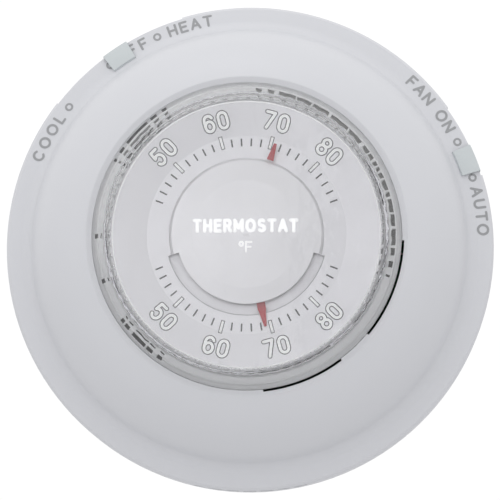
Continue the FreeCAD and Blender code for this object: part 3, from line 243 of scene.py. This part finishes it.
FINISH = {
    "white_case": surface("white_case", (0.59, 0.596, 0.625), 0.42, grain_mm=0.30, relief=0.10, tone=0.006),
    "white_moulding": surface("white_moulding", (0.72, 0.725, 0.73), 0.40, grain_mm=0.5, relief=0.05),
    # frame and sleeve mouldings: near-black painted shade behind the given depth, for the shade inside the
    # case
    "frame_moulding": two_tone("frame_moulding", (0.80, 0.80, 0.81), (0.035, 0.035, 0.04), 32.6),
    "sleeve_moulding": two_tone("sleeve_moulding", (0.80, 0.80, 0.81), (0.035, 0.035, 0.04), 33.1),
    "terminal_grey": surface("terminal_grey", (0.36, 0.37, 0.38), 0.5, grain_mm=0.25, relief=0.12),
    "contact_brass": surface("contact_brass", (0.72, 0.55, 0.27), 0.28, metallic=1.0, grain_mm=0.2,
                             relief=0.10, tone=0.10),
    "plated_steel": surface("plated_steel", (0.66, 0.67, 0.68), 0.25, metallic=1.0, grain_mm=0.3,
                            relief=0.08, tone=0.06),
    "board_green": surface("board_green", (0.02, 0.14, 0.06), 0.35, grain_mm=0.6, relief=0.06, tone=0.1),
    "relay_black": surface("relay_black", (0.022, 0.023, 0.025), 0.42, grain_mm=0.2, relief=0.15, tone=0.1),
    "can_aluminium": surface("can_aluminium", (0.74, 0.75, 0.77), 0.30, metallic=1.0, grain_mm=0.3,
                             relief=0.10, tone=0.05),
    "sensor_resin": surface("sensor_resin", (0.03, 0.03, 0.035), 0.25, grain_mm=0.6, relief=0.1, tone=0.1),
    "trimmer_blue": surface("trimmer_blue", (0.05, 0.16, 0.42), 0.4, grain_mm=0.3, relief=0.08, tone=0.06),
    "silver_face": surface("silver_face", (0.735, 0.725, 0.75), 0.38, metallic=0.55, grain_mm=0.16,
                           relief=0.10, tone=0.012),
    "silver_cap": surface("silver_cap", (0.79, 0.78, 0.80), 0.38, metallic=0.5, grain_mm=0.16,
                          relief=0.08, tone=0.01),
    "clear_dial": clear_plastic("clear_dial"),
    "pointer_red": surface("pointer_red", (0.46, 0.030, 0.045), 0.35, grain_mm=0.3, relief=0.06, tone=0.04),
    "gear_acetal": surface("gear_acetal", (0.70, 0.70, 0.68), 0.38, grain_mm=0.4, relief=0.06),
    "bimetal": surface("bimetal", (0.62, 0.55, 0.45), 0.3, metallic=1.0, grain_mm=0.2, relief=0.1, tone=0.1),
    "lever_grey": surface("lever_grey", (0.525, 0.56, 0.572), 0.42, grain_mm=0.3, relief=0.08, tone=0.01),
}


def white_print(name, tone, glow):
    """White ink with a painted glow (a little emission), brightening it against the loss of light in the
    clear window.
    """
    material = surface(name, (tone, tone, tone), 0.45, grain_mm=0.12, relief=0.10, tone=0.01)
    shader = material.node_tree.nodes["Principled BSDF"]
    shader.inputs["Emission Color"].default_value = (1.0, 1.0, 1.0, 1.0)
    shader.inputs["Emission Strength"].default_value = glow
    return material


# Painted glow: both these print finishes emit a little light of their own.
PRINT_WHITE_GLOW = white_print("print_white_glow", 0.96, 0.42)
PRINT_PALE_GLOW = white_print("print_pale_glow", 0.88, 0.16)
PRINT_DARK = surface("print_dark", (0.04, 0.04, 0.045), 0.45, grain_mm=0.12, relief=0.10, tone=0.05)
# Grey for the lip labels, and for the painted shade line along the trough's edge.
PRINT_GREY_AND_SHADE = surface("print_grey_and_shade", (0.30, 0.305, 0.315), 0.5, grain_mm=0.12, relief=0.12, tone=0.05)
PRINT_OUTLINE = surface("print_outline", (0.05, 0.05, 0.055), 0.45, grain_mm=0.12, relief=0.10, tone=0.05)

board_tree = FINISH["board_green"].node_tree
over(FINISH["board_green"], board_tracks(board_tree), (0.04, 0.24, 0.10))
vias = threshold(board_tree, cells(board_tree, 2.6, 0.9), 0.13, 0.03)
over(FINISH["board_green"], vias, (0.62, 0.60, 0.52))


# ---- finishes on the CAD nodes -----------------------------------------------------------------

for subpart in frame["record"]["subparts"]:
    mesh = NODES[subpart["node"]].data
    mesh.materials.clear()
    mesh.materials.append(FINISH[subpart["material_slot"]])


# ---- clear dial --------------------------------------------------------------------------------

TEETH = 72
TOOTH_PHASE = 4.2
STEPS = TEETH * 12
TOOTH_RISE = 0.9
WAVE_DEPTH = 0.18
DIAL_CREASE = 32.0
dial_profile = [
    (0.0, 38.16), (20.0, 38.16), (37.4, 38.16),
    (37.7, 38.16), (37.7, 38.6), (38.62, 38.6), (38.62, 38.16), (38.69, 38.1),
    (39.6, 36.77), (40.7, 35.17), (41.65, 33.78), (41.78, 33.7),
    (43.05, 33.7), (43.2, 33.85), (43.2, 34.3), (43.08, 34.55),
    (41.8, 36.35), (40.9, 37.7), (39.95, 39.08), (39.75, 39.5),
    (39.55, 39.85), (39.3, 40.02), (38.9, 40.08), (38.1, 40.08), (37.85, 39.9), (37.65, 39.6),
    (20.0, 39.6), (0.0, 39.6),
]
TOOTHED = {5, 6}
WAVED = {18, 19, 20, 21}


def dial_shape(index, radius, depth, angle):
    """A row of triangular pockets under the rim's land, and a waved edge where the slope begins."""
    pitch = 360.0 / TEETH
    across = ((angle - TOOTH_PHASE + pitch / 2) % pitch) - pitch / 2
    if index in TOOTHED:
        radius -= TOOTH_RISE * abs(across) / (pitch / 2)
    if index in WAVED:
        radius -= WAVE_DEPTH * (0.5 + 0.5 * math.cos(2 * math.pi * across / pitch))
    return radius, depth


dial_vertices, dial_faces = lathe(dial_profile, STEPS, dial_shape)
clear_moulding = mesh_object("clear_dial_moulding", dial_vertices, dial_faces,
                             FINISH["clear_dial"], "dial")
sharpen(clear_moulding, DIAL_CREASE)
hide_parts("clear_dial")


# ---- levers ------------------------------------------------------------------------------------

TAB_REACH = 69.6
FRONT_REACH = 69.2
FRONT_DEPTH = 11.9
INNER_RADIUS = 64.5
INNER_DEPTH = 12.0
INNER_DROP = 0.35
LEVER_CREASE = 30.0


def soft_lever(node, body):
    """The lever with its tab drawn in to the rim and its inner edge thinned down."""
    source = NODES[node]
    corners = []
    for vertex in source.data.vertices:
        place = (source.matrix_world @ vertex.co) / MM
        radius, depth = math.hypot(place.x, place.z), -place.y
        if radius < INNER_RADIUS and depth > INNER_DEPTH:
            depth -= INNER_DROP
        pull = min(radius, FRONT_REACH if depth > FRONT_DEPTH else TAB_REACH) / radius
        corners.append(Vector((place.x * pull, -depth, place.z * pull)) * MM)
    faces = [list(polygon.vertices) for polygon in source.data.polygons]
    piece = mesh_object(node + "_moulding", corners, faces, FINISH["lever_grey"], body)
    sharpen(piece, LEVER_CREASE)
    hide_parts(node)


soft_lever("system_lever", "system_switch")
soft_lever("fan_lever", "fan_switch")


# ---- print -------------------------------------------------------------------------------------

PRINT_GAP = 0.03
CELL = 0.7
RAY_START = -0.06
LEVELS = 9
LEVEL_STEP = 0.005
PEN_SIDES = 10


class Surface:
    """A CAD node's skin, met from the front."""

    def __init__(self, *names):
        points, polygons = [], []
        for name in names:
            mesh = NODES[name].data
            first = len(points)
            points += [v.co.copy() for v in mesh.vertices]
            polygons += [[first + i for i in p.vertices] for p in mesh.polygons]
        self.tree = BVHTree.FromPolygons(points, polygons)

    def lift(self, point, gap):
        """The point moved along the depth to lie in front of the skin, by a gap and its own height."""
        start = Vector((point.x, RAY_START, point.z))
        hit = self.tree.ray_cast(start, Vector((0.0, 1.0, 0.0)))[0]
        return Vector((point.x, hit.y - gap * MM + point.y, point.z))


def diced(bm):
    """Cuts a flat figure into cells, so that it can follow a curved surface."""
    for axis in (0, 1):
        values = [v.co[axis] for v in bm.verts]
        position = math.floor(min(values) / CELL) * CELL + CELL
        normal = Vector((1.0, 0.0, 0.0)) if axis == 0 else Vector((0.0, 1.0, 0.0))
        while position < max(values):
            everything = bm.verts[:] + bm.edges[:] + bm.faces[:]
            bmesh.ops.bisect_plane(bm, geom=everything, plane_co=normal * position, plane_no=normal)
            position += CELL
    return bm


def bow(x, y, across, up, start, end):
    """Points along part of an ellipse, from one angle to the other."""
    steps = max(2, round(abs(end - start) / 18.0))
    turns = [math.radians(start + (end - start) * i / steps) for i in range(steps + 1)]
    return [(x + across * math.cos(t), y + up * math.sin(t)) for t in turns]


# Each character: its width and its pen strokes, in units of its height.
CHARACTERS = {
    " ": (0.35, []),
    "A": (0.80, [[(0, 0), (0.4, 1), (0.8, 0)], [(0.14, 0.34), (0.66, 0.34)]]),
    "C": (0.80, [bow(0.42, 0.5, 0.42, 0.5, 48, 312)]),
    "E": (0.60, [[(0.6, 1), (0, 1), (0, 0), (0.6, 0)], [(0, 0.52), (0.52, 0.52)]]),
    "F": (0.56, [[(0.56, 1), (0, 1), (0, 0)], [(0, 0.5), (0.48, 0.5)]]),
    "H": (0.70, [[(0, 0), (0, 1)], [(0.7, 0), (0.7, 1)], [(0, 0.5), (0.7, 0.5)]]),
    "L": (0.52, [[(0, 1), (0, 0), (0.52, 0)]]),
    "M": (0.86, [[(0, 0), (0, 1), (0.43, 0.25), (0.86, 1), (0.86, 0)]]),
    "N": (0.72, [[(0, 0), (0, 1), (0.72, 0), (0.72, 1)]]),
    "O": (0.90, [bow(0.45, 0.5, 0.45, 0.5, 0, 360)]),
    "R": (0.66, [[(0, 0), (0, 1)] + bow(0.38, 0.74, 0.26, 0.26, 90, -90) + [(0, 0.48)],
                 [(0.36, 0.48), (0.66, 0)]]),
    "S": (0.64, [bow(0.32, 0.75, 0.30, 0.25, 40, 270) + bow(0.32, 0.25, 0.32, 0.25, 90, -140)]),
    "T": (0.70, [[(0, 1), (0.7, 1)], [(0.35, 1), (0.35, 0)]]),
    "U": (0.70, [[(0, 1)] + bow(0.35, 0.35, 0.35, 0.35, 180, 360) + [(0.7, 1)]]),
    "5": (0.54, [[(0.5, 1), (0.08, 1), (0.04, 0.54)] + bow(0.27, 0.33, 0.27, 0.33, 128, -150)]),
    "6": (0.54, [bow(0.27, 0.32, 0.27, 0.32, 0, 360),
                 [(0, 0.32)] + bow(0.27, 0.70, 0.27, 0.30, 180, 25)]),
    "7": (0.54, [[(0, 1), (0.54, 1), (0.16, 0)]]),
    "8": (0.54, [bow(0.27, 0.27, 0.27, 0.27, 0, 360), bow(0.27, 0.77, 0.24, 0.23, 0, 360)]),
    "0": (0.54, [bow(0.27, 0.70, 0.27, 0.30, 0, 180) + bow(0.27, 0.30, 0.27, 0.30, 180, 360)
                 + [(0.54, 0.70)]]),
    "o": (0.36, [bow(0.18, 0.80, 0.18, 0.20, 0, 360)]),
}


def pen_round(point, half):
    """The outline of the pen's round end at a point."""
    turns = [2 * math.pi * i / PEN_SIDES for i in range(PEN_SIDES)]
    return [point + Vector((math.cos(t), math.sin(t), 0.0)) * half for t in turns]


def draw(bm, path, half):
    """A pen stroke: a strip along each leg and a round at each point.

    Neighbouring pieces lie at slightly different heights, so that none of them coincide."""
    shapes = []
    for start, end in zip(path, path[1:]):
        side = Vector((start.y - end.y, end.x - start.x, 0.0)).normalized() * half
        shapes.append([start - side, end - side, end + side, start + side])
        shapes.append(pen_round(start, half))
    shapes.append(pen_round(path[-1], half))
    for shape in shapes:
        height = LEVEL_STEP * (len(bm.faces) % LEVELS)
        bm.faces.new([bm.verts.new((corner.x, corner.y, height)) for corner in shape])


def lettering(text, height, width, size, thickness, squeeze=1.0):
    """Characters drawn with a round pen, centred, with the baseline at 0, in millimetres.

    height and width are overall; size is the pen the spacing is made for, thickness the pen used."""
    tall = height - size
    widths = [CHARACTERS[c][0] * tall * squeeze + size for c in text]
    space = (width - sum(widths)) / max(1, len(text) - 1)
    left = -(sum(widths) + space * (len(text) - 1)) / 2
    bm = bmesh.new()
    for character, extent in zip(text, widths):
        for stroke in CHARACTERS[character][1]:
            flat = [(left + size / 2 + x * tall * squeeze, size / 2 + y * tall) for x, y in stroke]
            draw(bm, [Vector((x, y, 0.0)) for x, y in flat], thickness / 2)
        left += extent + space
    return diced(bm)


def bar(width, low, high):
    """An upright bar, from low to high."""
    bm = bmesh.new()
    corners = [(-width / 2, low), (width / 2, low), (width / 2, high), (-width / 2, high)]
    bm.faces.new([bm.verts.new((x, y, 0.0)) for x, y in corners])
    return diced(bm)


def ring_mark(outer, inner, steps=36):
    """A flat ring about the origin."""
    bm = bmesh.new()
    loops = []
    for radius in (outer, inner):
        turns = [2 * math.pi * i / steps for i in range(steps)]
        loops.append([bm.verts.new((radius * math.cos(t), radius * math.sin(t), 0.0)) for t in turns])
    for i in range(steps):
        j = (i + 1) % steps
        bm.faces.new([loops[0][i], loops[0][j], loops[1][j], loops[1][i]])
    return diced(bm)


def listed(bm, places):
    """The places with the figure's faces, and the figure itself freed."""
    bm.verts.index_update()
    faces = [[v.index for v in f.verts] for f in bm.faces]
    bm.free()
    return places, faces


def stand(bm, radius, angle, inward=False):
    """A flat figure stood at this radius and angle, its top outward, or inward for the lower scale."""
    turn = math.radians(angle)
    out = Vector((math.cos(turn), 0.0, math.sin(turn)))
    side = Vector((math.sin(turn), 0.0, -math.cos(turn)))
    if inward:
        up, right = -out, -side
    else:
        up, right = out, side
    places = [out * radius + right * v.co.x + up * v.co.y - Vector((0.0, v.co.z, 0.0)) for v in bm.verts]
    return listed(bm, places)


def bent(bm, radius, angle):
    """A flat figure bent along a circle, its top outward."""
    places = []
    for v in bm.verts:
        place = spot(radius + v.co.y, angle - math.degrees(v.co.x / radius), v.co.z)
        places.append(place / MM)
    return listed(bm, places)


def printed(name, figures, skin, gap, material, body):
    """Figures laid on a skin as one thin piece."""
    vertices, faces = [], []
    for places, polygons in figures:
        first = len(vertices)
        vertices += [skin.lift(place * MM, gap) for place in places]
        faces += [[first + i for i in polygon] for polygon in polygons]
    return mesh_object(name, vertices, faces, material, body)


face_skin = Surface("scale_plate")
DIGIT_HEIGHT = 5.7
DIGIT_WIDTH = 7.7
DIGIT_PEN = 1.32
OUTLINE = 0.26
UPPER_BASE = 29.85
LOWER_BASE = 35.3
# Each tick: its width and the radii of its two ends.
MINOR_TICK = (0.42, 24.9, 27.1)
MAJOR_TICK = (1.1, 24.8, 28.5)
MAJOR_CORE = (0.66, 25.02, 28.28)
minor, major_white, major_dark, digits_white, digits_dark = [], [], [], [], []
for side_angle, inward in ((upper_angle, False), (lower_angle, True)):
    for temperature in range(42, 90, 2):
        angle = side_angle(temperature)
        if temperature % 10:
            minor.append(stand(bar(*MINOR_TICK), 0.0, angle))
            continue
        major_dark.append(stand(bar(*MAJOR_TICK), 0.0, angle))
        major_white.append(stand(bar(*MAJOR_CORE), 0.0, angle))
        base = LOWER_BASE if inward else UPPER_BASE
        for figures, pen in ((digits_dark, DIGIT_PEN), (digits_white, DIGIT_PEN - 2 * OUTLINE)):
            figure = lettering(str(temperature), DIGIT_HEIGHT, DIGIT_WIDTH, DIGIT_PEN, pen)
            figures.append(stand(figure, base, angle, inward))
printed("scale_minor_ticks", minor, face_skin, PRINT_GAP, PRINT_DARK, "case")
printed("scale_outlines", major_dark + digits_dark, face_skin, PRINT_GAP, PRINT_OUTLINE,
        "case")
printed("scale_figures", major_white + digits_white, face_skin, 3 * PRINT_GAP, PRINT_PALE_GLOW,
        "case")

ARC_STEP = 2.5


def arc_line(radius, width, start, end):
    """A fine line along a circle between two angles."""
    length = math.radians(end - start) * radius
    bm = bmesh.new()
    steps = round((end - start) / ARC_STEP)
    draw(bm, [Vector((length * (i / steps - 0.5), 0.0, 0.0)) for i in range(steps + 1)], width / 2)
    return bent(diced(bm), radius, (start + end) / 2)


# Painted shade: a thin grey line along the trough's outer edge stands in for the shade in that crease.
printed("trough_edge_painted_shade", [arc_line(22.5, 0.16, 195.0, 344.5)], face_skin, PRINT_GAP, PRINT_GREY_AND_SHADE,
        "case")
# Painted highlight: a pale, slightly glowing ring at the face's rim stands in for the light caught on the
# window's inner edge.
printed("scale_rim_painted_highlight", [arc_line(37.3, 0.26, 0.0, 360.0)], face_skin, PRINT_GAP, PRINT_PALE_GLOW,
        "case")

cap_skin = Surface("center_cap")


def cap_words(bm, rise):
    """A flat figure stood upright on the cap, its baseline this far above the centre."""
    places, faces = stand(bm, 0.0, 90.0)
    return [p + Vector((-0.2, 0.0, rise)) for p in places], faces


title = cap_words(lettering("THERMOSTAT", 3.8, 29.3, 0.8, 0.8, 0.8), 0.4)
unit = cap_words(lettering("oF", 3.1, 3.7, 0.36, 0.36), -5.2)
printed("cap_title", [title], cap_skin, PRINT_GAP, PRINT_WHITE_GLOW, "case")
printed("cap_unit", [unit], cap_skin, PRINT_GAP, PRINT_WHITE_GLOW, "case")

lip_skin = Surface("housing")
LABEL_HEIGHT = 3.6
LABEL_PEN = 0.68


def label(text, radius, start, end):
    """A word bent along the lip between two angles, its top outward."""
    width = math.radians(end - start) * radius
    return bent(lettering(text, LABEL_HEIGHT, width, LABEL_PEN, LABEL_PEN), radius, (start + end) / 2)


labels = [
    label("HEAT", 64.9, 99.2, 110.7), label("F", 64.8, 116.5, 118.5), label("F", 64.8, 119.7, 121.7),
    label("COOL", 64.4, 144.8, 157.8), label("AUTO", 65.1, 2.4, 14.75), label("FAN ON", 64.9, 29.75, 46.5),
]
MARK_OUTER = 1.22
MARK_INNER = 0.62
MARKS = ((66.6, 113.6), (66.4, 127.25), (66.0, 142.0), (66.8, 17.0), (66.7, 26.6))
for radius, angle in MARKS:
    labels.append(stand(ring_mark(MARK_OUTER, MARK_INNER), radius, angle))
printed("lip_labels", labels, lip_skin, PRINT_GAP, PRINT_GREY_AND_SHADE, "case")


# ---- floor, light, camera ----------------------------------------------------------------------

FLOOR_LEVEL = -0.25
FLOOR_HALF = 6.0
floor_mesh = bpy.data.meshes.new("floor")
floor_corners = [(-FLOOR_HALF, -FLOOR_HALF), (FLOOR_HALF, -FLOOR_HALF),
                 (FLOOR_HALF, FLOOR_HALF), (-FLOOR_HALF, FLOOR_HALF)]
floor_mesh.from_pydata([(x, y, FLOOR_LEVEL) for x, y in floor_corners], [], [[0, 1, 2, 3]])
floor_mesh.materials.append(surface("floor", (0.70, 0.70, 0.705), 0.7, grain_mm=2.0, relief=0.02, tone=0.01))
floor = bpy.data.objects.new("floor", floor_mesh)
bpy.context.scene.collection.objects.link(floor)

world = bpy.data.worlds.new("studio")
bpy.context.scene.world = world
world.use_nodes = True
sky = world.node_tree
background = sky.nodes["Background"]
direction = sky.nodes.new("ShaderNodeTexCoord")
parts = sky.nodes.new("ShaderNodeSeparateXYZ")
height = sky.nodes.new("ShaderNodeMapRange")
height.inputs["From Min"].default_value = -1.0
height.inputs["From Max"].default_value = 1.0
ramp = sky.nodes.new("ShaderNodeValToRGB")
SKY = ((0.0, 0.60), (0.48, 0.85), (0.52, 1.02), (0.60, 1.03), (1.0, 1.08))
ramp.color_ramp.elements[0].position = SKY[0][0]
ramp.color_ramp.elements[1].position = SKY[-1][0]
for position, _ in SKY[1:-1]:
    ramp.color_ramp.elements.new(position)
for element, (_, level) in zip(ramp.color_ramp.elements, SKY):
    element.color = (level, level, level, 1.0)
sky.links.new(direction.outputs["Generated"], parts.inputs["Vector"])
sky.links.new(parts.outputs["Z"], height.inputs["Value"])
sky.links.new(height.outputs["Result"], ramp.inputs["Fac"])
sky.links.new(ramp.outputs["Color"], background.inputs["Color"])
background.inputs["Strength"].default_value = 1.0


def soft_box(name, place, size, watts):
    """A square area light that looks at the object."""
    light = bpy.data.lights.new(name, "AREA")
    light.size = size
    light.energy = watts
    holder = bpy.data.objects.new(name, light)
    holder.location = place
    holder.rotation_euler = (Vector((0.0, -0.02, 0.0)) - Vector(place)).to_track_quat("-Z", "Y").to_euler()
    bpy.context.scene.collection.objects.link(holder)


soft_box("key_above", (-0.2, -0.7, 1.6), 1.0, 3.6)
soft_box("fill_left", (-0.38, -1.2, 0.05), 0.8, 1.1)
soft_box("fill_right", (0.55, -1.0, -0.1), 0.8, 0.5)

CAMERA_PLACE = Vector((0.0296, -0.892, -0.1136))
AIM = Vector((0.0001, -0.009, -0.0009))
camera = bpy.data.cameras.new("camera")
camera.lens = 223.8
camera.sensor_width = 36.0
camera_holder = bpy.data.objects.new("camera", camera)
camera_holder.location = CAMERA_PLACE
camera_holder.rotation_euler = (AIM - CAMERA_PLACE).to_track_quat("-Z", "Y").to_euler()
bpy.context.scene.collection.objects.link(camera_holder)
bpy.context.scene.camera = camera_holder
bpy.context.scene.view_settings.view_transform = "Standard"
